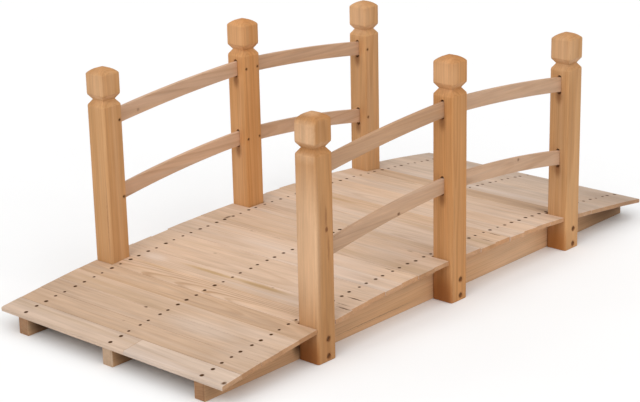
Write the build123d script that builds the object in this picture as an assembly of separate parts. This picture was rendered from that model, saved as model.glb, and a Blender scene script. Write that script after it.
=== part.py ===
from build123d import *
import os
from math import asin, cos, degrees, sin, sqrt, tan

# Low arched garden footbridge of softwood: planks on three joists, six posts and eight rails.
# X runs along the walkway from the near end to the far end, Y towards the left railing, Z up.
# The origin is on the ground under the middle of the bridge. All lengths are in millimetres.

# Whole bridge: over the ends of the deck, and over the outer faces of the posts
bridge_length = 1500.0
bridge_width = 678.0

# Joists: flat on the ground, sawn to an arc on top
joist_thickness = 29.0
joist_end_height = 38.5
joist_rise = 51.5
joist_setback = 3.0

# Deck planks: flat boards side by side across the arc of the joists
plank_count = 27
plank_thickness = 10.0
plank_gap = 0.4
plank_seat_clearance = 0.1
plank_end_setback = 1.0
nose_radius = 4.0

# Posts: square, each in the place of one plank's end, with a grooved neck under a domed cap
post_width = 54.6
post_edge_radius = 3.5
post_place = 8
post_plank_clearance = 0.2
end_shoulder_height = 443.0
middle_shoulder_rise = 31.0
neck_width = 35.0
groove_height = 27.3
cap_height = 45.5
cap_rise = 13.3

# Rails: curved slats let into the posts. Their centre lines are placed at the end posts, rise
# from there to the middle posts, and bow upward in between.
rail_thickness = 10.0
rail_height = 34.5
upper_rail_below_shoulder = 37.2
upper_rail_rise = 38.7
upper_rail_bow = 6.0
lower_rail_below_upper = 179.8
lower_rail_rise = 45.4
lower_rail_bow = 8.2
tenon_depth = 18.0
mortise_clearance = 0.3
mortise_headroom = 5.0

# How far a cutting tool runs out past the face that it enters
overrun = 5.0


def arc_radius(half_chord, rise):
    """Radius of an arc that rises by the given amount over a chord."""
    return (half_chord**2 + rise**2) / (2 * rise)


def slab(outline, thickness, y):
    """A closed outline in X and Z, made into a slab of the given thickness centred at y."""
    return Pos(0, y + thickness / 2, 0) * extrude(Plane.XZ * make_face(outline), thickness)


# The arc of the joists' tops, and the planks' places along it
joist_length = bridge_length - 2 * joist_setback
joist_middle_height = joist_end_height + joist_rise
joist_radius = arc_radius(joist_length / 2, joist_rise)
arc_centre_z = joist_middle_height - joist_radius
seat_radius = joist_radius + plank_seat_clearance
plank_middle_radius = seat_radius + plank_thickness / 2
plank_angle = 2 * asin(bridge_length / 2 / (seat_radius + plank_thickness)) / plank_count
plank_width = 2 * seat_radius * tan(plank_angle / 2) - plank_gap

# The posts' places, and the faces that the joists and the shortened planks meet
post_x = plank_middle_radius * sin(post_place * plank_angle)
post_y = (bridge_width - post_width) / 2
post_inner_y = post_y - post_width / 2
joist_y = post_inner_y - joist_thickness / 2

side_signs = {"right": -1, "left": 1}
bay_signs = {"near": -1, "far": 1}
post_places = {"near": -post_x, "middle": 0, "far": post_x}
upper_rail_end_height = end_shoulder_height - upper_rail_below_shoulder
lower_rail_end_height = upper_rail_end_height - lower_rail_below_upper
rail_levels = {
    "upper": (upper_rail_end_height, upper_rail_rise, upper_rail_bow),
    "lower": (lower_rail_end_height, lower_rail_rise, lower_rail_bow),
}


def make_joist(y):
    """A joist on edge, flat below and arched above."""
    end_x = joist_length / 2
    ends = Polyline(
        (end_x, joist_end_height), (end_x, 0), (-end_x, 0), (-end_x, joist_end_height)
    )
    crown = ThreePointArc(
        (-end_x, joist_end_height), (0, joist_middle_height), (end_x, joist_end_height)
    )
    return slab([ends, crown], joist_thickness, y)


def post_block(side, place):
    """The room that a post takes up in the deck, open to the outside of the bridge."""
    room = post_width + 2 * post_plank_clearance
    outer_y = bridge_width / 2 + overrun
    inner_y = post_inner_y - post_plank_clearance
    block = Box(room, outer_y - inner_y, end_shoulder_height)
    return Pos(post_places[place], side_signs[side] * (outer_y + inner_y) / 2, 0) * block


def make_plank(index):
    """A deck plank, counted from the middle of the bridge, cut to clear the posts."""
    between_posts = abs(index) in (0, post_place)
    if between_posts:
        length = 2 * (post_inner_y - post_plank_clearance)
    else:
        length = bridge_width - 2 * plank_end_setback
    board = Box(plank_width, length, plank_thickness)
    end_index = (plank_count - 1) // 2
    if abs(index) == end_index:
        top_edges = board.edges().filter_by(Axis.Y).group_by(Axis.Z)[-1].sort_by(Axis.X)
        nose = top_edges[-1] if index > 0 else top_edges[0]
        board = fillet(nose, nose_radius)
    angle = index * plank_angle
    plank_x = plank_middle_radius * sin(angle)
    plank_z = arc_centre_z + plank_middle_radius * cos(angle)
    plank = Pos(plank_x, 0, plank_z) * Rot(0, degrees(angle), 0) * board
    reach = (post_width + plank_width) / 2 + post_plank_clearance
    if not between_posts:
        for place, x in post_places.items():
            if abs(plank_x - x) < reach:
                for side in side_signs:
                    plank -= post_block(side, place)
    return plank


def rail_arc(level):
    """Radius of a far rail's centre line, and the place and height of the arc's centre."""
    end_z, rise, bow = rail_levels[level]
    chord = sqrt(post_x**2 + rise**2)
    radius = arc_radius(chord / 2, bow)
    centre_x = post_x / 2 - (radius - bow) * rise / chord
    centre_z = end_z + rise / 2 - (radius - bow) * post_x / chord
    return radius, centre_x, centre_z


def rail_edges(level, x):
    """Heights of a rail's lower and upper edges at a place along the bridge, alike in both bays."""
    radius, centre_x, centre_z = rail_arc(level)
    reach = abs(x) - centre_x
    lower, upper = (
        centre_z + sqrt((radius + offset) ** 2 - reach**2)
        for offset in (-rail_height / 2, rail_height / 2)
    )
    return lower, upper


def rail_ends(bay):
    """Places of a rail's two ends, each let into a post."""
    inner_x = post_width / 2 - tenon_depth
    outer_x = post_x - post_width / 2 + tenon_depth
    return bay_signs[bay] * inner_x, bay_signs[bay] * outer_x


def make_rail(side, bay, level):
    """A curved slat from post to post."""
    inner_x, outer_x = rail_ends(bay)
    middle_x = (inner_x + outer_x) / 2
    low, high = zip(*(rail_edges(level, x) for x in (inner_x, middle_x, outer_x)))
    outline = [
        ThreePointArc((inner_x, low[0]), (middle_x, low[1]), (outer_x, low[2])),
        Line((outer_x, low[2]), (outer_x, high[2])),
        ThreePointArc((outer_x, high[2]), (middle_x, high[1]), (inner_x, high[0])),
        Line((inner_x, high[0]), (inner_x, low[0])),
    ]
    return slab(outline, rail_thickness, side_signs[side] * post_y)


def make_mortise(face_x, end_x, level):
    """The slot for a rail's end, from a post's face in to just past the rail's end."""
    low, high = zip(*(rail_edges(level, x) for x in (face_x, end_x)))
    floor_z = min(low) - mortise_clearance
    roof_z = max(high) + mortise_headroom
    inward = 1 if end_x > face_x else -1
    mouth_x = face_x - inward * overrun
    back_x = end_x + inward * mortise_clearance
    slot = Box(abs(back_x - mouth_x), rail_thickness + 2 * mortise_clearance, roof_z - floor_z)
    return Pos((mouth_x + back_x) / 2, 0, (floor_z + roof_z) / 2) * slot


def post_cutter(shoulder_z):
    """A slab with the groove and the dome in its outline, running out past the post's faces."""
    half = post_width / 2
    neck = neck_width / 2
    neck_z = shoulder_z + groove_height / 2
    cap_edge_z = shoulder_z + groove_height + cap_height
    top_z = cap_edge_z + cap_rise
    dome_radius = arc_radius(half, cap_rise)
    spring_z = cap_edge_z - cap_rise / 2
    reach = sqrt(dome_radius**2 - (spring_z - top_z + dome_radius) ** 2)
    spread = groove_height / 2 * (reach - neck) / (half - neck)
    edge = [
        (reach, -overrun),
        (reach, neck_z - spread),
        (neck, neck_z),
        (reach, neck_z + spread),
        (reach, spring_z),
    ]
    far_edge = [(-x, z) for x, z in reversed(edge)]
    outline = [
        Polyline(*edge),
        ThreePointArc(edge[-1], (0, top_z), far_edge[0]),
        Polyline(*far_edge),
        Line(far_edge[-1], edge[0]),
    ]
    return slab(outline, 2 * reach, 0)


def make_post(side, place):
    """A square post with a V-groove round its neck, a domed cap and slots for the rails."""
    shoulder_z = end_shoulder_height
    if place == "middle":
        shoulder_z += middle_shoulder_rise
    height = shoulder_z + groove_height + cap_height + cap_rise
    cutter = post_cutter(shoulder_z)
    column = extrude(RectangleRounded(post_width, post_width, post_edge_radius), height)
    post = column & cutter & Rot(0, 0, 90) * cutter
    post = Pos(post_places[place], side_signs[side] * post_y, 0) * post
    half = post_width / 2
    for bay, sign in bay_signs.items():
        inner_x, outer_x = rail_ends(bay)
        if place == "middle":
            face_x, end_x = sign * half, inner_x
        elif place == bay:
            face_x, end_x = sign * (post_x - half), outer_x
        else:
            continue
        for level in rail_levels:
            post -= Pos(0, side_signs[side] * post_y, 0) * make_mortise(face_x, end_x, level)
    return post


def make_bridge():
    """Every piece of the bridge by its name."""
    pieces = {}
    for name, y in (("right", -joist_y), ("centre", 0), ("left", joist_y)):
        pieces[f"{name}_joist"] = make_joist(y)
    for number in range(1, plank_count + 1):
        pieces[f"deck_plank_{number:02d}"] = make_plank(number - (plank_count + 1) // 2)
    for side in side_signs:
        for place in post_places:
            pieces[f"{side}_{place}_post"] = make_post(side, place)
        for bay in bay_signs:
            for level in rail_levels:
                pieces[f"{side}_{bay}_{level}_rail"] = make_rail(side, bay, level)
    return pieces


os.makedirs("parts", exist_ok=True)
for piece_name, piece in make_bridge().items():
    export_step(piece, f"parts/{piece_name}.step")
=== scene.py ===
import math
import random

import bmesh
import bpy
import numpy as np
from mathutils import Matrix, Vector


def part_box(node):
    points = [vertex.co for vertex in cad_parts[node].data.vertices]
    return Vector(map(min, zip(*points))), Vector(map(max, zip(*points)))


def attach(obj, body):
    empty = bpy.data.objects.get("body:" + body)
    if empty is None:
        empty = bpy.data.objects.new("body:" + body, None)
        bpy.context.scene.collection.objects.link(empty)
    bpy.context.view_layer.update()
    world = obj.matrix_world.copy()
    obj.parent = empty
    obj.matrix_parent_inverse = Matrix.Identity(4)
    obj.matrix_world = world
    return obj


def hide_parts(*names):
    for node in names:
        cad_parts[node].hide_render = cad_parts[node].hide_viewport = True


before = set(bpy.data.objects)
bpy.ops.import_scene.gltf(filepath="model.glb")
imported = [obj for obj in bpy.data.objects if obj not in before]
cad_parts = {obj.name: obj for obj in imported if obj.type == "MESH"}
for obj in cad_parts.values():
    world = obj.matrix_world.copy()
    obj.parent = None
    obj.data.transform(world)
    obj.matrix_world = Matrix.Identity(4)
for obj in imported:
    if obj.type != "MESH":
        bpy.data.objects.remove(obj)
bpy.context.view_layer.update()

# Every length below is in metres. X runs along the bridge, Y to its left railing, Z up.

# Deck planks
plank_seat = 0.0001
plank_ease = 0.0005
plank_ease_angles = (30, 60, 90)
plank_rise_most = 0.0003
plank_spare_width = 0.0001
plank_end_shift = (-0.0016, 0.0006)
loose_plank_end_shift = (-0.0075, 0.0006)
loose_planks = range(7, 22)
plank_end_skew_most = 0.012
nose_radius = 0.004

# The first plank is two boards end to end
joint_y = -0.053
joint_gap = 0.0003

# Deck nails: two to each plank over each joist, driven just under the surface
nail_offset = 0.0153
nail_cell = 0.008
nail_wander = 0.0016
nail_stain_radius = 0.005
nail_pit_radius = 0.0034
nail_pit_floor_radius = 0.0029
nail_pit_depth = 0.0014
nail_head_radius = 0.0025
nail_head_crown = 0.0004
nail_head_rows = ((1, -1), (1, 0), (0.8, 0.6), (0.32, 1))
nail_size_range = (0.72, 1.18)
nail_sides = 16

# Posts: the grooved neck and the domed cap
post_corner = 0.005
post_corner_steps = 4
groove_corner = 0.001
neck_width = 0.035
groove_height = 0.0273
cap_height = 0.0455
cap_rise = 0.0133
dome_shares = (0.985, 0.94, 0.85, 0.7, 0.5, 0.3, 0.08)
dome_corner_share = 0.28
foot_ease = 0.0012
shoulder_ease = 0.001
shoulder_round = 0.0003
shoulder_bevel = 0.0015
throat_ease = 0.0005
throat_room = 0.0001
mortise_clearance = 0.0004
mortise_end_room = 0.0046
mortise_run_out = 0.005
slot_end_steps = 8
post_side_parts = 8

# The near top edge of the first post's cap is sanded to a broad round
sanded_post = "right_near_post"
sanded_reach = 0.02
sanded_drop = 0.0094
sanded_power = 3

# Nails through the posts' inner faces into the rails' ends
rail_nail_offset = 0.019
rail_nail_pit_radius = 0.003
rail_nail_pit_floor_radius = 0.0024
rail_nail_pit_depth = 0.0016

# Screws through the posts' outer faces into the side joists, two to a post
screw_heights = (0.05, 0.012)
screw_offset = 0.004
screw_hole_radius = 0.0056
screw_hole_floor_radius = 0.005264
screw_hole_depth = 0.0044
screw_head_radius = 0.0047
screw_head_crown = 0.0014
screw_dome_shares = (0.0, 0.35, 0.65, 0.9)
screw_sides = 32
screw_slot_length = 0.0048
screw_slot_width = 0.0011
screw_slot_depth = 0.001

# Rails and joists
rail_ease = 0.0013
joist_ease = 0.0012
rail_stations = 40
joist_stations = 60
bar_corner_steps = 2

# Edges turning by more degrees than this stay crisp
crisp_angle = 38

# Starts of the random draws
seeds = {"joists": 3, "deck": 27, "rails": 8, "posts": 6}

# Camera of the photograph
camera_place = (-2.9421, -2.58475, 1.43862)
camera_yaw = 42.113
camera_pitch = -17.98
camera_roll = -1.255
camera_lens = 99.306
camera_sensor = 36.0

# Studio light
surround_strength = 0.2
soft_lights = {
    "overhead": {"place": (0.0, 0.0, 5.0), "strength": 1.95, "spread": 110},
    "end_key": {"place": (-4.0, -0.8, 3.0), "strength": 1.15, "spread": 45},
    "side_key": {"place": (-0.4, -4.0, 3.0), "strength": 0.7, "spread": 45},
}

# Pale floor
floor_half = 30.0
floor_greys = ((0.86, 0.86, 0.86, 1), (0.88, 0.88, 0.88, 1))
floor_grain_often = 3.0
floor_grain_detail = 2.0
floor_roughness = 0.9
floor_specular = 0.1

sides = {"right": -1, "left": 1}
bays = {"near": -1, "far": 1}
places = ("near", "middle", "far")
levels = ("upper", "lower")


# Sizes and places read from the frame

plank_names = sorted(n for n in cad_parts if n.startswith("deck_plank_"))
middle_plank = len(plank_names) // 2
plank_low, plank_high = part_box(plank_names[middle_plank])
plank_size = plank_high - plank_low
full_plank_low, full_plank_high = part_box(plank_names[middle_plank + 1])
joist_low, joist_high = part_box("right_joist")
joist_row = abs(joist_low.y + joist_high.y) / 2


def heights_at(name, x):
    """Lowest and highest point of a CAD node at one of its ends along the bridge."""
    reach = 1e-5
    heights = [v.co.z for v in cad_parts[name].data.vertices if abs(v.co.x - x) < reach]
    return min(heights), max(heights)


class Arc:
    """An upward arc through three points, each given by X and Z."""

    def __init__(self, *points):
        rows = [(2 * x, 2 * z, 1) for x, z in points]
        squares = [x**2 + z**2 for x, z in points]
        self.centre_x, self.centre, rest = np.linalg.solve(rows, squares)
        self.radius = math.sqrt(rest + self.centre_x**2 + self.centre**2)

    def height(self, x):
        return self.centre + math.sqrt(self.radius**2 - (x - self.centre_x) ** 2)


joist_crown = plank_low.z - plank_seat
joist_end = heights_at("right_joist", joist_high.x)[1]
joist_arc = Arc((joist_low.x, joist_end), (0, joist_crown), (joist_high.x, joist_end))


def rail_arcs(name):
    """The arcs of a rail's lower and upper edges."""
    low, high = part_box(name)
    first, last = heights_at(name, low.x), heights_at(name, high.x)
    middle_x = (low.x + high.x) / 2
    slope = (sum(last) - sum(first)) / 2 / (high.x - low.x)
    points = [v.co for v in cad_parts[name].data.vertices]
    arcs = []
    for edge, sign in enumerate((-1, 1)):
        side = [p for p in points if sign * (p.z - sum(first) / 2 - slope * (p.x - low.x)) > 0]
        crown = min(side, key=lambda p: abs(p.x - middle_x))
        arcs.append(Arc((low.x, first[edge]), (crown.x, crown.z), (high.x, last[edge])))
    return arcs


# Mesh helpers

def add_quads(bm, first, second):
    """A band of faces between two closed loops of as many points."""
    count = len(first)
    for k in range(count):
        following = (k + 1) % count
        bm.faces.new((first[k], first[following], second[following], second[k]))


def loft(loops):
    """A closed mesh through loops of points, each counter-clockwise as seen from the last loop."""
    bm = bmesh.new()
    rings = [[bm.verts.new(point) for point in loop] for loop in loops]
    for first, second in zip(rings, rings[1:]):
        add_quads(bm, first, second)
    bm.faces.new(reversed(rings[0]))
    bm.faces.new(rings[-1])
    return bm


def rounded_rectangle(half_width, half_height, radius, steps, side_parts=1):
    """Points round a rectangle with rounded corners, counter-clockwise, its sides in equal parts."""
    points = []
    corners = ((1, 1), (-1, 1), (-1, -1), (1, -1))
    for quarter, (sx, sy) in enumerate(corners):
        arc = []
        for step in range(steps + 1):
            angle = math.radians(90 * (quarter + step / steps))
            x = sx * (half_width - radius) + radius * math.cos(angle)
            y = sy * (half_height - radius) + radius * math.sin(angle)
            arc.append(Vector((x, y)))
        for part in range(1, side_parts if points else 1):
            points.append(points[last].lerp(arc[0], part / side_parts))
        points += arc
        last = len(points) - 1
    for part in range(1, side_parts):
        points.append(points[last].lerp(points[0], part / side_parts))
    return points


def mesh_of(bm, name, matrix=None):
    """A mesh with outward faces from a bmesh, which is then freed."""
    if matrix is not None:
        bm.transform(matrix)
    bmesh.ops.recalc_face_normals(bm, faces=bm.faces)
    mesh = bpy.data.meshes.new(name)
    bm.to_mesh(mesh)
    bm.free()
    return mesh


def joined(parts, name):
    """One mesh of many small ones."""
    whole = bmesh.new()
    for part in parts:
        mesh = mesh_of(part, "part")
        whole.from_mesh(mesh)
        bpy.data.meshes.remove(mesh)
    return mesh_of(whole, name)


def facing(place, normal):
    """The matrix that turns Z to a face's normal at a place."""
    return Matrix.Translation(place) @ Vector(normal).to_track_quat("Z", "Y").to_matrix().to_4x4()


def carve(mesh, cutters):
    """The mesh less what the cutters cover."""
    tool = bpy.data.objects.new("cutter", joined(cutters, "cutters"))
    blank = bpy.data.objects.new("blank", mesh)
    for thing in (tool, blank):
        bpy.context.scene.collection.objects.link(thing)
    cut = blank.modifiers.new("cut", "BOOLEAN")
    cut.operation = "DIFFERENCE"
    cut.solver = "EXACT"
    cut.object = tool
    depsgraph = bpy.context.evaluated_depsgraph_get()
    carved = bpy.data.meshes.new_from_object(blank.evaluated_get(depsgraph))
    carved.name = mesh.name
    for thing in (tool, blank):
        old_mesh = thing.data
        bpy.data.objects.remove(thing)
        bpy.data.meshes.remove(old_mesh)
    return carved


def box_cutter(low, high):
    """A box between two corners."""
    bm = bmesh.new()
    bmesh.ops.create_cube(bm, size=1)
    bm.transform(Matrix.Translation((low + high) / 2) @ Matrix.Diagonal((*(high - low), 1)))
    return bm


def slot_cutter(xs, middle_y, half_width, floor, roof):
    """A slot along X with round ends below and above."""
    outline = []
    for end_z, start in ((roof - half_width, 0), (floor + half_width, math.pi)):
        for step in range(slot_end_steps + 1):
            angle = start + math.pi * step / slot_end_steps
            y = middle_y + half_width * math.cos(angle)
            outline.append((y, end_z + half_width * math.sin(angle)))
    return loft([[(x, y, z) for y, z in outline] for x in xs])


def circle(radius, z, count, start=0):
    """Points round a level circle about the Z axis, from a starting angle."""
    angles = [start + 2 * math.pi * k / count for k in range(count)]
    return [(radius * math.cos(a), radius * math.sin(a), z) for a in angles]


def pit_cutter(centre, normal, radius, floor_radius, depth):
    """A round tapered pit into a face, running out past the face."""
    rows = ((-depth, floor_radius), (0, radius), (depth, radius + (radius - floor_radius)))
    bm = loft([circle(r, z, nail_sides) for z, r in rows])
    bm.transform(facing(centre, normal))
    return bm


def show(name, mesh, material, cad_node=None):
    """A finished piece of the bridge, standing for a CAD node where one is named."""
    mesh.name = name
    mesh.materials.clear()
    mesh.materials.append(material)
    mesh.shade_smooth()
    mesh.set_sharp_from_angle(angle=math.radians(crisp_angle))
    piece = bpy.data.objects.new(name, mesh)
    bpy.context.scene.collection.objects.link(piece)
    weighted = piece.modifiers.new("flat faces stay flat", "WEIGHTED_NORMAL")
    weighted.keep_sharp = True
    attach(piece, "root")
    if cad_node:
        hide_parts(cad_node)


# Wood: each piece remembers where it lay in its log, and the grain is worked out in that log

# Detail and roughness of the noise behind each feature of the grain
plain_noise = (2.0, 0.5)
noise_grades = {"broad": (3.0, 0.6), "fibre": (4.0, 0.7)}
crowd_detail = 1.0

# A knot's or a mark's inner share that has its full strength, and how a mark's edge strays
knot_core = 0.75
mark_core = 0.2
mark_raggedness = 0.0035
mark_stray_often = 170.0
mark_stray_detail = 2.0

# How squarely a face cuts the grain as end grain sets in, and the fibre noise that sets the roughness
end_grain_range = (0.45, 0.9)
sheen_range = (0.2, 0.8)
wood_specular = 0.2


def write_lumber(mesh, axes, centre, rng, cut, kind="even", joint=None):
    """Stores each point's place in the log (along it, and from its heart), and the piece's own tone
    and figure.

    Points beyond a joint, given by its place along the piece, come from another length of the log.
    """
    count = len(mesh.vertices)
    points = np.empty(count * 3, np.float32)
    mesh.vertices.foreach_get("co", points)
    local = (points.reshape(-1, 3) - np.array(centre)) @ np.array([list(a) for a in axes]).T
    heart_far = rng.uniform(*cut["heart_depth"]) * rng.choice((-1, 1))
    heart_aside = rng.uniform(*cut["heart_aside"])
    lean = [rng.uniform(*leaning) for leaning in cut["lean"]]
    along = local[:, 0]
    log = np.empty((count, 3), np.float32)
    log[:, 0] = along + rng.uniform(*log_shift)
    log[:, 1] = local[:, 1] - heart_aside - lean[0] * along
    log[:, 2] = local[:, 2] - heart_far - lean[1] * along
    tone = np.array([rng.gauss(0, deviation) for deviation in cut["tone_spread"]]) + kinds[kind]
    tones = np.tile(tone.astype(np.float32), (count, 1))
    figure = np.full(count, rng.uniform(*cut["figure"]), np.float32)
    if joint is not None:
        beyond = along < joint
        log[beyond, 0] += rng.uniform(*log_shift)
        tones[beyond] += joint_tone
    for attribute_name, values in (("log_point", log), ("tone", tones)):
        layer = mesh.attributes.new(attribute_name, "FLOAT_VECTOR", "POINT")
        layer.data.foreach_set("vector", values.ravel())
    layer = mesh.attributes.new("figure", "FLOAT", "POINT")
    layer.data.foreach_set("value", figure)


class Shading:
    """A new material and short calls for its nodes; an input is a value or another node's output."""

    def __init__(self, name):
        self.material = bpy.data.materials.new(name)
        self.material.use_nodes = True
        self.tree = self.material.node_tree
        self.shader = self.tree.nodes["Principled BSDF"]

    def fill(self, made, inputs):
        for key, value in dict(inputs).items():
            if isinstance(value, bpy.types.NodeSocket):
                self.tree.links.new(value, made.inputs[key])
            else:
                made.inputs[key].default_value = value

    def add(self, kind, inputs=(), **settings):
        made = self.tree.nodes.new("ShaderNode" + kind)
        for name, value in settings.items():
            setattr(made, name, value)
        self.fill(made, inputs)
        return made

    def node(self, *wanted, **settings):
        """The outputs of a new node."""
        return self.add(*wanted, **settings).outputs

    def attribute(self, name, output):
        """One of the values that a piece's points carry."""
        return self.node("Attribute", attribute_name=name)[output]

    def maths(self, operation, *values, clamp=False):
        return self.node("Math", enumerate(values), operation=operation, use_clamp=clamp)[0]

    def times(self, first, second, clamp=False):
        return self.maths("MULTIPLY", first, second, clamp=clamp)

    def plus(self, first, second):
        return self.maths("ADD", first, second)

    def swing(self, noise, size):
        """A noise about nought, of the given size."""
        return self.times(self.maths("SUBTRACT", noise, 0.5), size)

    def vector(self, operation, *values):
        outputs = self.node("VectorMath", enumerate(values), operation=operation)
        return outputs["Value" if operation in ("LENGTH", "DOT_PRODUCT") else "Vector"]

    def vector_swing(self, noise, sizes):
        """A coloured noise about nought, of the given sizes along X, Y and Z."""
        return self.vector("MULTIPLY", self.vector("SUBTRACT", noise, (0.5, 0.5, 0.5)), sizes)

    def mixed(self, factor, first, second, blend="MIX"):
        inputs = {0: factor, 6: first, 7: second}
        return self.node("Mix", inputs, data_type="RGBA", blend_type=blend)[2]

    def spread(self, value, low, high, to_low=0.0, to_high=1.0):
        """A value taken smoothly from one range to another."""
        inputs = {0: value, 1: low, 2: high, 3: to_low, 4: to_high}
        return self.node("MapRange", inputs, interpolation_type="SMOOTHSTEP")[0]

    def noise(self, place, often, detail, roughness=0.5):
        inputs = {"Vector": place, "Scale": often, "Detail": detail, "Roughness": roughness}
        return self.node("TexNoise", inputs)

    def ramp(self, value, stops):
        """A curve through grey stops."""
        made = self.add("ValToRGB", {0: value})
        made.color_ramp.interpolation = "EASE"
        elements = made.color_ramp.elements
        while len(elements) < len(stops):
            elements.new(0.5)
        for element, (position, level) in zip(elements, stops):
            element.position = position
            element.color = (level, level, level, 1)
        return made.outputs[0]


def grain_noise(s, point, look, feature):
    """Noise for a feature of the grain; its stretch is how often it varies in a metre, each way."""
    stretched = s.vector("MULTIPLY", point, look[f"{feature}_stretch"])
    return s.noise(stretched, 1.0, *noise_grades.get(feature, plain_noise))


def knots(s, point, bent, look):
    """Distance from the nearest knot's middle in metres, and whether there is one."""
    across = s.node("SeparateXYZ", {0: bent})
    along = s.node("SeparateXYZ", {0: point})["X"]
    aside = s.times(s.maths("ARCTAN2", across["Z"], across["Y"]), look["knot_reach"])
    place = s.node("CombineXYZ", {0: along, 1: aside})[0]
    inputs = {"Vector": place, "Scale": 1 / look["knot_spacing"]}
    cells = s.node("TexVoronoi", inputs, voronoi_dimensions="2D")
    distance = s.times(cells["Distance"], look["knot_spacing"])
    chance = s.node("SeparateColor", {0: cells["Color"]})[0]
    return distance, s.maths("LESS_THAN", chance, look["knot_share"])


def marked(s, place, marks):
    """How much of a mark lies at a point; each has a middle, half sizes and a strength."""
    stray = s.noise(place, mark_stray_often, mark_stray_detail)["Color"]
    ragged = s.vector("ADD", place, s.vector_swing(stray, [mark_raggedness] * 3))
    most = 0.0
    for middle, reach, strength in marks:
        offset = s.vector("DIVIDE", s.vector("SUBTRACT", ragged, middle), reach)
        amount = s.spread(s.vector("LENGTH", offset), mark_core, 1.0, strength, 0)
        most = s.maths("MAXIMUM", amount, most)
    return most


def wood(name, look):
    """Softwood whose rings, fibres and knots run through the log that each piece was sawn from."""
    s = Shading(name)
    point = s.attribute("log_point", "Vector")
    tone = s.node("SeparateXYZ", {0: s.attribute("tone", "Vector")})

    # Growth rings, wandering slowly along the log and swerving round the knots
    wander = grain_noise(s, point, look, "wander")["Color"]
    bent = s.vector("ADD", point, s.vector_swing(wander, (0, look["wander"], look["wander"])))
    from_heart = s.vector("LENGTH", s.vector("MULTIPLY", bent, (0, 1, 1)))
    knot_distance, knot_there = knots(s, point, bent, look)
    nearness = s.spread(knot_distance, 0, look["knot_swerve_reach"], 1, 0)
    swerve = s.times(s.times(nearness, knot_there), look["knot_swerve"])
    ripple = s.swing(grain_noise(s, point, look, "ripple")[0], look["ripple"])
    ring_place = s.plus(s.plus(from_heart, swerve), ripple)
    inputs = {"W": from_heart, "Scale": look["crowd_often"], "Detail": crowd_detail}
    crowd = s.swing(s.node("TexNoise", inputs, noise_dimensions="1D")[0], look["crowding"])
    ring = s.maths("DIVIDE", s.plus(ring_place, crowd), look["ring_spacing"])
    season = s.ramp(s.maths("FRACT", ring), look["season_stops"])
    year = s.node("TexWhiteNoise", {"W": s.maths("FLOOR", ring)}, noise_dimensions="1D")["Value"]
    late = s.times(season, s.spread(year, 0, 1, look["ring_least"], 1))
    late = s.times(late, s.times(s.attribute("figure", "Fac"), look["ring_contrast"]))
    colour = s.mixed(late, look["early"], look["late"])

    # Broad streaks, gilt and pale marks, the piece's own tone, and fibres
    broad = grain_noise(s, point, look, "broad")[0]
    gold = s.spread(broad, *look["gold_range"])
    gold = s.times(gold, s.plus(tone["Z"], look["gold_share"]), clamp=True)
    colour = s.mixed(gold, colour, look["gold"])
    pale = s.times(s.spread(broad, *look["pale_range"]), look["pale_share"])
    colour = s.mixed(pale, colour, look["pale"])
    place = s.node("TexCoord")["Object"]
    # The posts' gilt marks warm the painted shade on their feet; some pale marks are painted light
    colour = s.mixed(marked(s, place, look["gilt_marks"]), colour, look["gilt_and_painted_shade_warmth"])
    colour = s.mixed(marked(s, place, look["pale_marks"]), colour, look["bleach_and_painted_light"])
    tint = s.mixed(s.spread(tone["Y"], -1, 1), look["cool"], look["warm"])
    colour = s.mixed(1.0, colour, tint, "MULTIPLY")
    features = ("fibre", "cloud", "drift")
    noises = {feature: grain_noise(s, point, look, feature)[0] for feature in features}
    level = s.plus(tone["X"], 1.0)
    for feature, noise in noises.items():
        level = s.plus(level, s.swing(noise, look[f"{feature}_contrast"]))
    grey = s.node("CombineColor", {0: level, 1: level, 2: level})[0]
    colour = s.mixed(1.0, colour, grey, "MULTIPLY")

    # Knots, end grain, dark marks, and the dark stain round a nail
    knot_edge = knot_core * look["knot_radius"]
    knot_heart = s.times(s.spread(knot_distance, knot_edge, look["knot_radius"], 1, 0), knot_there)
    knot_ring = s.maths("FRACT", s.maths("DIVIDE", knot_distance, look["knot_ring_spacing"]))
    knot_colour = s.mixed(knot_ring, look["knot"], look["knot_rim"])
    colour = s.mixed(s.times(knot_heart, look["knot_strength"]), colour, knot_colour)
    normal = s.node("NewGeometry")["True Normal"]
    end_on = s.maths("ABSOLUTE", s.vector("DOT_PRODUCT", normal, look["grain_axis"]))
    sawn_end = s.mixed(1.0, colour, look["end_tint"], "MULTIPLY")
    colour = s.mixed(s.spread(end_on, *end_grain_range), colour, sawn_end)
    # Some dark marks are painted shade
    colour = s.mixed(marked(s, place, look["dark_marks"]), colour, look["dark"])
    colour = s.mixed(s.attribute("stain", "Fac"), colour, look["stain"])

    # Sheen and the feel of the grain
    rough = s.spread(noises["fibre"], *sheen_range, look["rough_low"], look["rough_high"])
    height = s.plus(noises["fibre"], s.times(season, look["ring_relief"]))
    bump = s.node("Bump", {"Height": height, "Strength": 1.0, "Distance": look["relief"]})[0]
    s.fill(s.shader, {
        "Base Color": colour, "Roughness": rough, "Specular IOR Level": wood_specular, "Normal": bump,
    })
    return s.material


# Places of the posts' screws and of the nails into the rails' ends

def screw_places(side, place):
    """Middles of a post's screws on its outer face."""
    low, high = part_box(f"{side}_{place}_post")
    outward = sides[side]
    face_y = high.y if outward > 0 else low.y
    x = (low.x + high.x) / 2 - outward * screw_offset
    return [Vector((x, face_y, height)) for height in screw_heights]


def rail_ends(side, place):
    """Each rail end in a post: the rail's name and way along X, its end, and the face that it enters."""
    low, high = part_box(f"{side}_{place}_post")
    found = []
    for bay, sign in bays.items():
        if place in ("middle", bay):
            toward = sign if place == "middle" else -sign
            for level in levels:
                name = f"{side}_{bay}_{level}_rail"
                rail_low, rail_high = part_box(name)
                end_x, face_x = (rail_low.x, high.x) if toward > 0 else (rail_high.x, low.x)
                found.append((name, toward, end_x, face_x))
    return found


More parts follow.
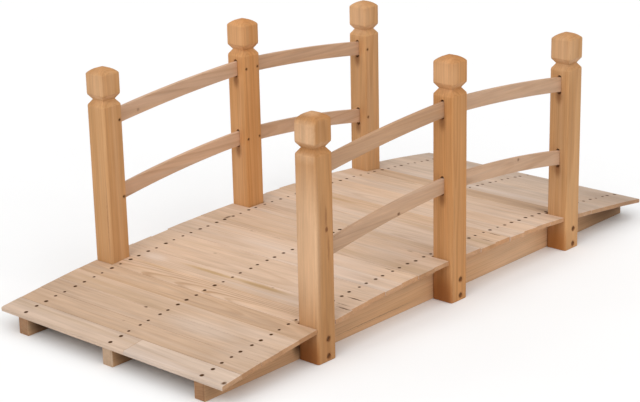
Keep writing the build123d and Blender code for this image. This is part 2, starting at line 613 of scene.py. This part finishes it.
def rail_nail_places(side, place):
    """Middles of the nails through a post's inner face into the rails' ends."""
    low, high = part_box(f"{side}_{place}_post")
    inner_y = low.y if sides[side] > 0 else high.y
    found = []
    for name, toward, end_x, face_x in rail_ends(side, place):
        lower, upper = rail_arcs(name)
        x = (low.x + high.x) / 2 + toward * rail_nail_offset
        found.append(Vector((x, inner_y, (lower.height(x) + upper.height(x)) / 2)))
    return found


# Marks seen on single pieces, some of them painted shade or painted light: a middle, half sizes along X, Y
# and Z, and a strength
deck_flecks_and_painted_shade = (
    ((-0.586, 0.052, 0.068), (0.0042, 0.0075, 0.02), 0.95),
    ((-0.656, 0.046, 0.06), (0.004, 0.005, 0.02), 0.3),
    ((-0.298, 0.13, 0.092), (0.005, 0.008, 0.02), 0.28),
    ((-0.111, 0.274, 0.099), (0.018, 0.006, 0.02), 0.9),
    ((-0.146, 0.16, 0.098), (0.003, 0.008, 0.02), 0.35),
    ((-0.146, 0.075, 0.098), (0.0016, 0.028, 0.02), 0.4),
    ((-0.147, -0.255, 0.098), (0.003, 0.012, 0.02), 0.6),
    ((-0.366, -0.316, 0.088), (0.0034, 0.026, 0.02), 0.95),
    ((-0.352, -0.3, 0.089), (0.0022, 0.028, 0.02), 0.6),
    ((-0.316, -0.306, 0.091), (0.0036, 0.03, 0.02), 1.0),
    ((-0.737, -0.33, 0.05), (0.009, 0.0075, 0.008), 1.0),
    ((-0.03, -0.222, 0.1), (0.004, 0.012, 0.02), 0.45),
    ((0.141, -0.31, 0.098), (0.0028, 0.025, 0.02), 0.65),
    ((0.188, -0.296, 0.097), (0.003, 0.027, 0.02), 0.8),
    ((-0.369, -0.116, 0.088), (0.0028, 0.005, 0.02), 0.5),
    ((0.438, -0.255, 0.082), (0.012, 0.025, 0.02), 0.25),
    # Painted shade: broad soft darkening along the deck's left edge and at its far right end
    ((-0.6, 0.34, 0.06), (0.17, 0.15, 0.05), 0.1),
    ((-0.25, 0.34, 0.092), (0.15, 0.11, 0.05), 0.09),
    ((0.67, -0.3, 0.058), (0.13, 0.11, 0.05), 0.2),
)
deck_gilding = (
    ((-0.381, 0.06, 0.087), (0.0085, 0.125, 0.02), 0.75),
    ((-0.378, -0.09, 0.087), (0.0105, 0.125, 0.02), 0.8),
    ((-0.425, 0.19, 0.083), (0.006, 0.09, 0.02), 0.4),
    ((0.163, 0.16, 0.097), (0.01, 0.09, 0.02), 0.45),
)
deck_pale_marks_and_painted_light = (
    ((-0.388, 0.232, 0.086), (0.022, 0.052, 0.02), 0.8),
    ((-0.19, 0.06, 0.097), (0.026, 0.15, 0.02), 0.55),
    ((-0.16, -0.15, 0.098), (0.03, 0.09, 0.02), 0.45),
    ((-0.592, -0.13, 0.067), (0.048, 0.17, 0.03), 0.8),
    ((-0.56, -0.23, 0.071), (0.03, 0.11, 0.03), 0.5),
    # Painted light: broad soft lightening of the near right part of the deck
    ((-0.61, -0.28, 0.066), (0.11, 0.1, 0.03), 0.4),
    ((-0.2, -0.185, 0.094), (0.3, 0.1, 0.04), 0.3),
)
# A knot, streaks and a darker patch on the near post's cap; mark_post adds stains round screws and nails,
# and painted shade under the rails and on the feet
post_flecks_and_painted_shade = [
    ((-0.44, -0.339, 0.287), (0.0062, 0.0062, 0.008), 1.4),
    ((-0.441, -0.339, 0.314), (0.0046, 0.006, 0.034), 0.5),
    ((-0.435, -0.339, 0.245), (0.0044, 0.006, 0.044), 0.45),
    ((-0.474, 0.291, 0.19), (0.005, 0.0026, 0.14), 0.45),
    ((-0.447, -0.339, 0.49), (0.03, 0.008, 0.04), 0.12),
]
# Filled by mark_post with the warming of the painted shade on the feet
post_painted_shade_warming = []
# Paler wood on the near post and on the caps; mark_post adds painted light over each neck
post_pale_marks_and_painted_light = [
    ((-0.48, -0.312, 0.25), (0.028, 0.11, 0.26), 1.15),
    ((-0.48, -0.312, 0.48), (0.017, 0.11, 0.1), 1.1),
    ((-0.45, -0.308, 0.532), (0.03, 0.04, 0.016), 0.8),
    ((-0.03, -0.312, 0.52), (0.05, 0.06, 0.06), 0.5),
    ((0.417, -0.312, 0.489), (0.05, 0.06, 0.06), 0.25),
    ((-0.477, 0.312, 0.489), (0.05, 0.06, 0.06), 0.2),
    ((-0.03, 0.312, 0.52), (0.05, 0.06, 0.06), 0.22),
    ((0.417, 0.312, 0.489), (0.05, 0.06, 0.06), 0.28),
]

# Marks that every post has: stains round its screws and nails, painted shadow under its rails, painted shade
# on its foot, and painted light that makes it pale over its neck
screw_stain = 0.0098
screw_stain_strength = 1.35
rail_nail_stain = 0.006
rail_nail_stain_strength = 0.9
rail_shadow_drop = 0.01
rail_shadow_reach = (0.006, 0.013, 0.03)
rail_shadow_strength = 0.7
painted_foot_shade_reach = (0.008, 0.05, 0.09)
painted_foot_shade_strengths = {"near": 0.56, "middle": 0.58, "far": 0.26}
painted_foot_shade_warming = 0.9
painted_neck_light_rise = 0.0095
painted_neck_light_reach = (0.045, 0.045, 0.01)
painted_neck_light_strength = 0.6


def mark_post(side, place):
    """Adds one post's share of the marks that every post has."""
    for screw in screw_places(side, place):
        post_flecks_and_painted_shade.append((screw, [screw_stain] * 3, screw_stain_strength))
    for nail in rail_nail_places(side, place):
        post_flecks_and_painted_shade.append((nail, [rail_nail_stain] * 3, rail_nail_stain_strength))
    low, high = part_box(f"{side}_{place}_post")
    middle = (low + high) / 2
    for name, toward, end_x, face_x in rail_ends(side, place):
        # Painted shadow below the rail's end on the post's face
        rail_shadow_z = rail_arcs(name)[0].height(face_x) - rail_shadow_drop
        post_flecks_and_painted_shade.append(((face_x, middle.y, rail_shadow_z), rail_shadow_reach, rail_shadow_strength))
    # Painted shade on the foot's near face under the deck, made warmer by a gilt mark
    foot = (low.x, middle.y, 0)
    post_flecks_and_painted_shade.append((foot, painted_foot_shade_reach, painted_foot_shade_strengths[place]))
    post_painted_shade_warming.append((foot, painted_foot_shade_reach, painted_foot_shade_warming))
    # Painted light over the groove of the neck
    neck_z = high.z - cap_rise - cap_height - groove_height / 2
    painted_neck_light = (middle.x, middle.y, neck_z + painted_neck_light_rise)
    post_pale_marks_and_painted_light.append((painted_neck_light, painted_neck_light_reach, painted_neck_light_strength))


for side_name in sides:
    for place_name in places:
        mark_post(side_name, place_name)

rail_flecks = (
    ((0.168, -0.312, 0.458), (0.005, 0.006, 0.004), 0.7),
    ((0.25, -0.317, 0.266), (0.0058, 0.006, 0.0055), 0.8),
    ((-0.184, -0.317, 0.248), (0.0065, 0.006, 0.0055), 1.0),
    ((-0.35, 0.306, 0.412), (0.006, 0.005, 0.006), 0.5),
)
joist_grain_line_and_painted_shade = (
    ((-0.23, -0.284, 0.015), (0.21, 0.006, 0.0016), 0.55),
    # After the dark grain line: painted shade under the deck at the joists' near ends, darker along the
    # right joist's far end, and painted shade in the corner at the near right post
    ((-0.69, 0.2554, 0.035), (0.08, 0.007, 0.07), 1.15),
    ((-0.69, -0.0145, 0.035), (0.08, 0.007, 0.07), 0.85),
    ((-0.74, -0.2844, 0.03), (0.06, 0.007, 0.07), 0.4),
    ((0.7, -0.2844, 0.04), (0.22, 0.007, 0.07), 0.8),
    ((-0.474, -0.2844, 0.045), (0.026, 0.007, 0.05), 1.05),
)
joist_bleaching = (
    ((-0.747, 0.0, 0.02), (0.005, 0.03, 0.05), 1.3),
    ((0.28, -0.2844, 0.03), (0.18, 0.007, 0.08), 0.18),
)

softwood = {
    "wander_stretch": (1.6, 7.0, 7.0), "wander": 0.016,
    "ripple_stretch": (5.0, 130.0, 130.0), "ripple": 0.0012,
    "ring_spacing": 0.0048, "ring_contrast": 0.55, "ring_least": 0.1,
    "crowd_often": 45.0, "crowding": 0.009,
    "season_stops": ((0.0, 0.1), (0.45, 0.22), (0.78, 1.0), (0.9, 0.85), (1.0, 0.1)),
    "broad_stretch": (1.1, 30.0, 30.0), "gold_range": (0.52, 0.7), "gold_share": 0.4,
    "pale_range": (0.48, 0.3), "pale_share": 0.5,
    "fibre_stretch": (4.5, 150.0, 150.0), "fibre_contrast": 0.5,
    "drift_stretch": (1.6, 14.0, 14.0), "drift_contrast": 0.3,
    "cloud_stretch": (8.0, 45.0, 45.0), "cloud_contrast": 0.24,
    "knot_reach": 0.05, "knot_spacing": 0.22, "knot_share": 0.05, "knot_radius": 0.0045,
    "knot_ring_spacing": 0.0021, "knot_strength": 0.6,
    "knot_swerve": 0.006, "knot_swerve_reach": 0.022,
    "knot": (0.26, 0.12, 0.045, 1), "knot_rim": (0.34, 0.18, 0.08, 1),
    "cool": (0.95, 1.02, 1.14, 1), "warm": (1.05, 0.95, 0.84, 1),
    "end_tint": (0.86, 0.8, 0.73, 1),
    "stain": (0.085, 0.036, 0.013, 1), "dark": (0.115, 0.055, 0.024, 1),
    "gilt_marks": (), "pale_marks": (), "dark_marks": (),
    "gilt_and_painted_shade_warmth": (0.45, 0.285, 0.12, 1), "bleach_and_painted_light": (0.69, 0.545, 0.435, 1),
    "rough_low": 0.58, "rough_high": 0.74, "ring_relief": 0.5, "relief": 0.0001,
}
deck_look = softwood | {
    "early": (0.64, 0.462, 0.328, 1), "late": (0.455, 0.295, 0.18, 1),
    "gold": (0.51, 0.345, 0.2, 1), "pale": (0.69, 0.545, 0.435, 1), "grain_axis": (0, 1, 0),
    "end_tint": (0.8, 0.61, 0.44, 1),
    "gilt_marks": deck_gilding, "pale_marks": deck_pale_marks_and_painted_light, "dark_marks": deck_flecks_and_painted_shade,
}
# The posts' dark colour also colours their painted shade, and their gilt colour warms it on the feet
post_look = softwood | {
    "early": (0.565, 0.305, 0.13, 1), "late": (0.41, 0.188, 0.064, 1),
    "gold": (0.5, 0.238, 0.08, 1), "pale": (0.64, 0.385, 0.2, 1), "grain_axis": (0, 0, 1),
    "ring_spacing": 0.0055, "ring_contrast": 0.45, "dark": (0.215, 0.08, 0.025, 1),
    "bleach_and_painted_light": (0.8, 0.535, 0.335, 1), "gilt_and_painted_shade_warmth": (0.45, 0.165, 0.035, 1),
    "gilt_marks": post_painted_shade_warming, "pale_marks": post_pale_marks_and_painted_light, "dark_marks": post_flecks_and_painted_shade,
}
rail_look = softwood | {
    "early": (0.545, 0.35, 0.223, 1), "late": (0.405, 0.235, 0.13, 1),
    "gold": (0.46, 0.272, 0.145, 1), "pale": (0.575, 0.41, 0.292, 1), "grain_axis": (1, 0, 0),
    "knot_share": 0.0, "dark": (0.165, 0.075, 0.033, 1), "dark_marks": rail_flecks,
}
joist_look = softwood | {
    "early": (0.63, 0.39, 0.215, 1), "late": (0.47, 0.255, 0.12, 1),
    "gold": (0.54, 0.305, 0.14, 1), "pale": (0.66, 0.45, 0.275, 1), "grain_axis": (1, 0, 0),
    "end_tint": (0.5, 0.44, 0.4, 1), "bleach_and_painted_light": (0.89, 0.715, 0.53, 1),
    "pale_marks": joist_bleaching, "dark_marks": joist_grain_line_and_painted_shade,
}
deck_wood = wood("deck_wood", deck_look)
post_wood = wood("post_wood", post_look)
rail_wood = wood("rail_wood", rail_look)
joist_wood = wood("joist_wood", joist_look)

# Tones of single pieces: brighter, warmer, and more golden streaks
kinds = {
    "even": (0, 0, 0), "pale": (0.05, -0.25, -0.15), "dove": (-0.08, -0.5, -0.25),
    "tan": (-0.2, 0.22, 0.05), "yellow": (-0.02, 0.22, 0.12), "brown": (-0.2, 0.5, 0.15),
    "buff": (-0.13, 0.15, 0.05), "umber": (-0.1, 0.0, 0.1), "dull": (-0.11, -0.3, -0.25),
    "grey": (-0.1, -0.45, -0.25), "slate": (-0.2, -0.5, -0.2),
    "light": (0.14, -0.2, 0), "russet": (-0.19, 0.6, 0.15), "dusky": (-0.09, 0.1, 0),
    "toasted": (-0.17, 0.45, 0.1), "ruddy": (0.03, 0.55, 0.2), "chalky": (0.0, -0.45, -0.1),
    "rosy": (-0.12, 0.85, 0.1), "fair": (0.02, -0.3, 0.0),
}
plank_kinds = (
    "dull tan tan buff brown yellow even even even pale even buff even umber "
    "pale even yellow pale even pale even brown dove dove dove grey slate"
).split()
post_kinds = {
    "right_near_post": "toasted", "right_middle_post": "rosy", "right_far_post": "chalky",
    "left_near_post": "fair", "left_middle_post": "ruddy", "left_far_post": "fair",
}
rail_kinds = {
    "right_near_upper_rail": "russet", "right_near_lower_rail": "dusky",
    "left_near_upper_rail": "light", "left_near_lower_rail": "light",
}
joint_tone = (0.05, -0.35, 0)

log_shift = (0.0, 60.0)
plank_cut = {
    "heart_depth": (0.02, 0.07), "heart_aside": (-0.022, 0.022),
    "lean": ((-0.02, 0.02), (-0.045, 0.045)), "tone_spread": (0.01, 0.06, 0.15),
    "figure": (0.35, 0.85),
}
flamed_cut = plank_cut | {
    "heart_depth": (0.026, 0.03), "heart_aside": (-0.024, -0.02),
    "lean": ((0.002, 0.006), (-0.055, -0.045)), "figure": (2.2, 2.3),
}
flamed_plank = "deck_plank_06"
post_cut = {
    "heart_depth": (0.03, 0.07), "heart_aside": (-0.03, 0.03),
    "lean": ((-0.018, 0.018), (-0.025, 0.025)), "tone_spread": (0.012, 0.1, 0.1),
    "figure": (0.8, 1.2),
}
rail_cut = {
    "heart_depth": (0.04, 0.09), "heart_aside": (-0.03, 0.03),
    "lean": ((-0.02, 0.02), (-0.03, 0.03)), "tone_spread": (0.015, 0.15, 0.15),
    "figure": (0.5, 1.0),
}
joist_cut = {
    "heart_depth": (0.04, 0.09), "heart_aside": (-0.04, 0.04),
    "lean": ((-0.01, 0.01), (-0.015, 0.015)), "tone_spread": (0.03, 0.2, 0.15),
    "figure": (0.7, 1.1),
}

# Nails and screws

nail_look = {"dark": (0.045, 0.021, 0.008, 1), "light": (0.12, 0.058, 0.024, 1), "specular": 0.0}
screw_look = {"dark": (0.095, 0.038, 0.012, 1), "light": (0.28, 0.125, 0.045, 1), "specular": 0.3}
mottle_often = 900.0
mottle_detail = 3.0
mottle_range = (0.3, 0.7)
steel_roughness = (0.5, 0.75)


def mottled_steel(name, look):
    """Nails or screws gone dull brown, mottled."""
    s = Shading(name)
    mottle = s.noise(s.node("TexCoord")["Object"], mottle_often, mottle_detail)[0]
    colour = s.mixed(mottle, look["dark"], look["light"])
    rough = s.spread(mottle, *mottle_range, *steel_roughness)
    s.fill(s.shader, {"Base Color": colour, "Roughness": rough, "Specular IOR Level": look["specular"]})
    return s.material


nail_steel = mottled_steel("browned_steel", nail_look)
screw_steel = mottled_steel("bronzed_steel", screw_look)


def nail_head(matrix):
    """A low domed head, its rim at the matrix's origin, facing along its Z."""
    bm = loft([
        circle(wide * nail_head_radius, high * nail_head_crown, nail_sides)
        for wide, high in nail_head_rows
    ])
    bm.transform(matrix)
    return bm


def screw_head(matrix):
    """A domed head with a crossed slot, its rim at the matrix's origin, facing along its Z."""
    loops = [circle(screw_head_radius, -screw_head_crown, screw_sides)]
    for share in screw_dome_shares:
        rise = share * math.pi / 2
        z = screw_head_crown * math.sin(rise)
        loops.append(circle(screw_head_radius * math.cos(rise), z, screw_sides))
    head = mesh_of(loft(loops), "screw_head")
    top = Vector((0, 0, 2 * screw_head_crown))
    floor = Vector((0, 0, screw_head_crown - screw_slot_depth))
    for size_x, size_y in ((screw_slot_length, screw_slot_width), (screw_slot_width, screw_slot_length)):
        corner = Vector((size_x / 2, size_y / 2, 0))
        head = carve(head, [box_cutter(floor - corner, top + corner)])
    bm = bmesh.new()
    bm.from_mesh(head)
    bpy.data.meshes.remove(head)
    bm.transform(matrix)
    return bm


# Deck planks

def nail_pit(bm, stain, corners, centre, size):
    """A cell of a plank's top with a nail's pit in it and a stain round the pit."""
    rings = []
    rows = (
        (nail_stain_radius, 0, 0), (nail_pit_radius, 0, 1),
        (nail_pit_floor_radius, -nail_pit_depth, 1),
    )
    first_corner = math.radians(-135)
    for radius, drop, amount in rows:
        points = circle(radius * size, drop, nail_sides, first_corner)
        ring = [bm.verts.new(centre + Vector(point)) for point in points]
        for vertex in ring:
            vertex[stain] = amount
        rings.append(ring)
    count = len(corners)
    quarter = nail_sides // count
    for side in range(count):
        arc = [rings[0][(quarter * side + k) % nail_sides] for k in range(quarter, -1, -1)]
        bm.faces.new([corners[side], corners[(side + 1) % count], *arc])
    add_quads(bm, rings[0], rings[1])
    add_quads(bm, rings[1], rings[2])
    bm.faces.new(rings[2])


def cell_edges(low, middles, high):
    """Where a plank's top is divided along one axis, with a cell round each nail."""
    return [low, *(middle + way * nail_cell for middle in middles for way in (-1, 1)), high]


def plank_top(bm, stain, half, eases, rows, rng):
    """The flat top of a plank with its nail pits; gives its border and the nails' places."""
    xs = cell_edges(-half.x + eases[-1], (-nail_offset, nail_offset), half.x - eases[1])
    ys = cell_edges(-half.y + plank_ease, rows, half.y - plank_ease)
    grid = [[bm.verts.new((x, y, half.z)) for y in ys] for x in xs]
    nails = []
    for i in range(len(xs) - 1):
        for j in range(len(ys) - 1):
            corners = [grid[i][j], grid[i + 1][j], grid[i + 1][j + 1], grid[i][j + 1]]
            if i in (1, 3) and j % 2:
                middle = (corners[0].co + corners[2].co) / 2
                drift = [rng.uniform(-nail_wander, nail_wander) for _ in "xy"]
                centre = middle + Vector((*drift, 0))
                size = rng.uniform(*nail_size_range)
                nail_pit(bm, stain, corners, centre, size)
                floor = Matrix.Translation(centre - Vector((0, 0, nail_pit_depth)))
                nails.append(floor @ Matrix.Diagonal((size, size, 1, 1)))
            else:
                bm.faces.new(corners)
    last_x, last_y = len(xs) - 1, len(ys) - 1
    border = [(i, 0) for i in range(last_x)] + [(last_x, j) for j in range(last_y)]
    border += [(i, last_y) for i in range(last_x, 0, -1)] + [(0, j) for j in range(last_y, 0, -1)]
    ends = {0: -1, last_x: 1}
    sills = {0: -1, last_y: 1}
    edge = [(grid[i][j], ends.get(i, 0), sills.get(j, 0)) for i, j in border]
    return edge, nails


def plank_mesh(half, nose_side, rows, rng, end_shift, loose_ends=(-1, 1)):
    """A board with eased edges, uneven loose ends and a pit at each nail; also the nails' places."""
    bm = bmesh.new()
    stain = bm.verts.layers.float.new("stain")
    eases = {side: nose_radius if side == nose_side else plank_ease for side in (-1, 1)}
    edge, nails = plank_top(bm, stain, half, eases, rows, rng)

    def below(angle, inset_share=None):
        """The border's loop part of the way round the eased edge, or at the bottom."""
        loop = []
        for vertex, sx, sy in edge:
            x, y, z = vertex.co
            ease = max(eases.get(sx, 0), plank_ease if sy else 0)
            if sx:
                x = sx * (half.x - eases[sx] * (1 - math.sin(angle)))
            if sy:
                y = sy * (half.y - plank_ease * (1 - math.sin(angle)))
            if inset_share is not None:
                x -= sx * plank_ease * inset_share
                y -= sy * plank_ease * inset_share
                z = -half.z + plank_ease * (1 - inset_share)
            else:
                z -= ease * (1 - math.cos(angle))
            loop.append(bm.verts.new((x, y, z)))
        return loop

    loops = [[vertex for vertex, sx, sy in edge]]
    loops += [below(math.radians(angle)) for angle in plank_ease_angles]
    loops += [below(math.pi / 2, share) for share in (0, 1)]
    for first, second in zip(loops, loops[1:]):
        add_quads(bm, second, first)
    bm.faces.new(reversed(loops[-1]))
    for side in loose_ends:
        shift = rng.uniform(*end_shift)
        skew = rng.uniform(-plank_end_skew_most, plank_end_skew_most)
        last_row = max(side * row for row in rows) + nail_cell
        for vertex in bm.verts:
            if side * vertex.co.y > last_row + nail_wander:
                vertex.co.y += side * shift + skew * vertex.co.x
    return bm, nails


def jointed_plank_mesh(half, nose_side, rows, rng, end_shift):
    """Two boards end to end in one plank's place, and their nails' places."""
    whole = bmesh.new()
    nails = []
    for side in (-1, 1):
        ends = sorted((side * half.y, joint_y + side * joint_gap / 2))
        middle = sum(ends) / 2
        board = Vector((half.x, (ends[1] - ends[0]) / 2, half.z))
        own_rows = [row - middle for row in rows if ends[0] < row < ends[1]]
        bm, own_nails = plank_mesh(board, nose_side, own_rows, rng, end_shift, (side,))
        slide = Matrix.Translation((0, middle, 0))
        mesh = mesh_of(bm, "board", slide)
        whole.from_mesh(mesh)
        bpy.data.meshes.remove(mesh)
        nails += [slide @ nail for nail in own_nails]
    return whole, nails


def build_deck():
    """All the deck's planks, and their nails."""
    rng = random.Random(seeds["deck"])
    thickness = plank_size.z
    middle_radius = joist_arc.radius + plank_seat + thickness / 2
    next_x = (full_plank_low.x + full_plank_high.x) / 2
    step = math.asin(next_x / middle_radius)
    rows = (-joist_row, 0, joist_row)
    heads = []
    for number, name in enumerate(plank_names):
        index = number - middle_plank
        low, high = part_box(name)
        half = Vector((plank_size.x + plank_spare_width, high.y - low.y, thickness)) / 2
        is_last = abs(index) == middle_plank
        nose_side = (index > 0) - (index < 0) if is_last else 0
        if is_last:
            half.x -= plank_spare_width / 2
        is_jointed = number == 0
        make = jointed_plank_mesh if is_jointed else plank_mesh
        end_shift = loose_plank_end_shift if number in loose_planks else plank_end_shift
        bm, nails = make(half, nose_side, rows, rng, end_shift)
        angle = index * step
        turn = Matrix.Rotation(angle, 4, "Y")
        centre = Vector((middle_radius * math.sin(angle), 0, 0))
        centre.z = joist_arc.centre + middle_radius * math.cos(angle)
        lift = turn @ Vector((0, 0, 0 if is_last else rng.uniform(0, plank_rise_most)))
        matrix = Matrix.Translation(centre + lift) @ turn
        mesh = mesh_of(bm, name, matrix)
        axes = [turn.to_3x3() @ Vector(axis) for axis in ((0, 1, 0), (1, 0, 0), (0, 0, 1))]
        cut = flamed_cut if name == flamed_plank else plank_cut
        joint = joint_y if is_jointed else None
        write_lumber(mesh, axes, centre, rng, cut, plank_kinds[number], joint)
        show(f"{name}_board", mesh, deck_wood, name)
        for nail in nails:
            heads.append(nail_head(matrix @ nail))
    show("deck_nails", joined(heads, "deck_nails"), nail_steel)


# Joists and rails

def bar_mesh(low_height, high_height, xs, y, half_thickness, ease):
    """A bar along the bridge whose edges follow two curves, with eased edges and ends."""
    ends = [(xs[0], ease), (xs[0] + ease, 0)]
    ends += [(x, 0) for x in xs[1:-1]]
    ends += [(xs[-1] - ease, 0), (xs[-1], ease)]
    loops = []
    for x, inset in ends:
        low, high = low_height(x) + inset, high_height(x) - inset
        section = rounded_rectangle(half_thickness - inset, (high - low) / 2, ease, bar_corner_steps)
        loops.append([(x, y + across, (low + high) / 2 + up) for across, up in section])
    return loft(loops)


def stations(first, last, count):
    return [first + (last - first) * k / count for k in range(count + 1)]


def build_joists():
    """The three joists, flat below and arched above."""
    rng = random.Random(seeds["joists"])
    for name in ("right_joist", "centre_joist", "left_joist"):
        low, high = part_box(name)
        xs = stations(low.x, high.x, joist_stations)
        y = (low.y + high.y) / 2
        bm = bar_mesh(lambda x: low.z, joist_arc.height, xs, y, (high.y - low.y) / 2, joist_ease)
        mesh = mesh_of(bm, name)
        axes = ((1, 0, 0), (0, 1, 0), (0, 0, 1))
        write_lumber(mesh, axes, (0, y, 0), rng, joist_cut)
        show(f"{name}_beam", mesh, joist_wood, name)


def build_rails():
    """The eight curved rails."""
    rng = random.Random(seeds["rails"])
    for side in sides:
        for bay in bays:
            for level in levels:
                name = f"{side}_{bay}_{level}_rail"
                low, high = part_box(name)
                centre = (low + high) / 2
                half = (high.y - low.y) / 2
                lower, upper = rail_arcs(name)
                xs = stations(low.x, high.x, rail_stations)
                bm = bar_mesh(lower.height, upper.height, xs, centre.y, half, rail_ease)
                mesh = mesh_of(bm, name)
                axes = ((1, 0, 0), (0, 0, 1), (0, 1, 0))
                write_lumber(mesh, axes, centre, rng, rail_cut, rail_kinds.get(name, "even"))
                show(f"{name}_slat", mesh, rail_wood, name)


# Posts

def post_profile(half, top):
    """Half widths, heights and corner radii of a post's sections from the foot to the cap."""
    neck = neck_width / 2
    cap_edge = top - cap_rise
    cap_foot = cap_edge - cap_height
    shoulder = cap_foot - groove_height
    neck_z = (shoulder + cap_foot) / 2
    slope = (half - neck) / (groove_height / 2)
    groove = [
        (half, shoulder - shoulder_ease, post_corner),
        (half - shoulder_round, shoulder, post_corner - shoulder_round),
        (half - shoulder_bevel, shoulder + shoulder_bevel / slope, groove_corner),
        (neck + throat_ease, neck_z - throat_ease / slope, groove_corner),
    ]
    mirrored = [(width, 2 * neck_z - height, corner) for width, height, corner in reversed(groove)]
    rows = [(half - foot_ease, 0, post_corner - foot_ease), (half, foot_ease, post_corner)]
    rows += [*groove, (neck + throat_room, neck_z, groove_corner), *mirrored]
    rows.append((half, cap_edge - shoulder_bevel, post_corner))
    dome_radius = (half**2 + cap_rise**2) / (2 * cap_rise)
    dome_centre = top - dome_radius
    for share in dome_shares:
        width = share * half
        height = dome_centre + math.sqrt(dome_radius**2 - width**2)
        rows.append((width, height, min(post_corner, dome_corner_share * width)))
    return rows


def sanded(point, near_x):
    """A point of the cap's top brought down towards the near edge, which is sanded round."""
    x, y, z = point
    share = max(1 - (x - near_x) / sanded_reach, 0)
    return x, y, z - sanded_drop * share**sanded_power


def post_cutters(side, place, inward):
    """The mortises, nail pits and screw holes of a post."""
    cutters = []
    for name, toward, end_x, face_x in rail_ends(side, place):
        low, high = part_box(name)
        lower, upper = rail_arcs(name)
        floor = min(lower.height(face_x), lower.height(end_x)) - mortise_end_room
        roof = max(upper.height(face_x), upper.height(end_x)) + mortise_end_room
        xs = sorted((face_x + toward * mortise_run_out, end_x - toward * mortise_clearance))
        half_width = (high.y - low.y) / 2 + mortise_clearance
        cutters.append(slot_cutter(xs, (low.y + high.y) / 2, half_width, floor, roof))
    pit = (rail_nail_pit_radius, rail_nail_pit_floor_radius, rail_nail_pit_depth)
    hole = (screw_hole_radius, screw_hole_floor_radius, screw_hole_depth)
    cutters += [pit_cutter(nail, inward, *pit) for nail in rail_nail_places(side, place)]
    cutters += [pit_cutter(screw, -inward, *hole) for screw in screw_places(side, place)]
    return cutters


def build_posts():
    """The six posts, with their nails and screws."""
    rng = random.Random(seeds["posts"])
    heads, screw_heads = [], []
    for side in sides:
        for place in places:
            name = f"{side}_{place}_post"
            low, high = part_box(name)
            half = (high.x - low.x) / 2
            middle = (low + high) / 2
            loops = []
            for width, height, corner in post_profile(half, high.z):
                section = rounded_rectangle(width, width, corner, post_corner_steps, post_side_parts)
                loop = [(middle.x + x, middle.y + y, height) for x, y in section]
                if name == sanded_post and height > high.z - cap_rise - cap_height / 2:
                    loop = [sanded(point, low.x) for point in loop]
                loops.append(loop)
            inward = Vector((0, -sides[side], 0))
            mesh = carve(mesh_of(loft(loops), name), post_cutters(side, place, inward))
            axes = ((0, 0, 1), (1, 0, 0), (0, 1, 0))
            kind = post_kinds.get(name, "even")
            write_lumber(mesh, axes, (middle.x, middle.y, 0), rng, post_cut, kind)
            show(f"{name}_wood", mesh, post_wood, name)
            for nail in rail_nail_places(side, place):
                heads.append(nail_head(facing(nail - inward * rail_nail_pit_depth, inward)))
            for screw in screw_places(side, place):
                seat = screw + inward * (screw_hole_depth - screw_head_crown)
                turn = Matrix.Rotation(rng.uniform(0, math.pi / 2), 4, "Z")
                screw_heads.append(screw_head(facing(seat, -inward) @ turn))
    show("rail_nails", joined(heads, "rail_nails"), nail_steel)
    show("post_screws", joined(screw_heads, "post_screws"), screw_steel)


build_joists()
build_deck()
build_rails()
build_posts()


# Studio: a plain pale floor, a white surround and soft lights

def build_floor():
    """A wide pale floor under the bridge."""
    bm = bmesh.new()
    bmesh.ops.create_grid(bm, x_segments=1, y_segments=1, size=floor_half)
    floor = bpy.data.objects.new("floor", mesh_of(bm, "floor"))
    bpy.context.scene.collection.objects.link(floor)
    s = Shading("pale_floor")
    grain = s.noise(s.node("TexCoord")["Object"], floor_grain_often, floor_grain_detail)[0]
    s.fill(s.shader, {
        "Base Color": s.mixed(grain, *floor_greys), "Roughness": floor_roughness,
        "Specular IOR Level": floor_specular,
    })
    floor.data.materials.append(s.material)


def build_light():
    """A white surround, with broad soft lights from overhead, from the near end and from the right."""
    world = bpy.data.worlds.new("surround")
    world.use_nodes = True
    background = world.node_tree.nodes["Background"]
    background.inputs["Color"].default_value = (1, 1, 1, 1)
    background.inputs["Strength"].default_value = surround_strength
    bpy.context.scene.world = world
    for name, setting in soft_lights.items():
        lamp = bpy.data.lights.new(name, "SUN")
        lamp.energy = setting["strength"]
        lamp.angle = math.radians(setting["spread"])
        light = bpy.data.objects.new(name, lamp)
        light.location = setting["place"]
        light.rotation_euler = light.location.to_track_quat("Z", "Y").to_euler()
        bpy.context.scene.collection.objects.link(light)


def build_camera():
    """The photograph's camera."""
    yaw, pitch, roll = (math.radians(a) for a in (camera_yaw, camera_pitch, camera_roll))
    forward = Vector((
        math.cos(pitch) * math.cos(yaw), math.cos(pitch) * math.sin(yaw), math.sin(pitch),
    ))
    right = forward.cross(Vector((0, 0, 1))).normalized()
    up = right.cross(forward)
    across = math.cos(roll) * right + math.sin(roll) * up
    upward = -math.sin(roll) * right + math.cos(roll) * up
    lens = bpy.data.cameras.new("camera")
    lens.lens = camera_lens
    lens.sensor_width = camera_sensor
    camera = bpy.data.objects.new("camera", lens)
    turn = Matrix((across, upward, -forward)).transposed().to_4x4()
    camera.matrix_world = Matrix.Translation(camera_place) @ turn
    bpy.context.scene.collection.objects.link(camera)
    bpy.context.scene.camera = camera


build_floor()
build_light()
build_camera()
bpy.context.scene.view_settings.view_transform = "Standard"
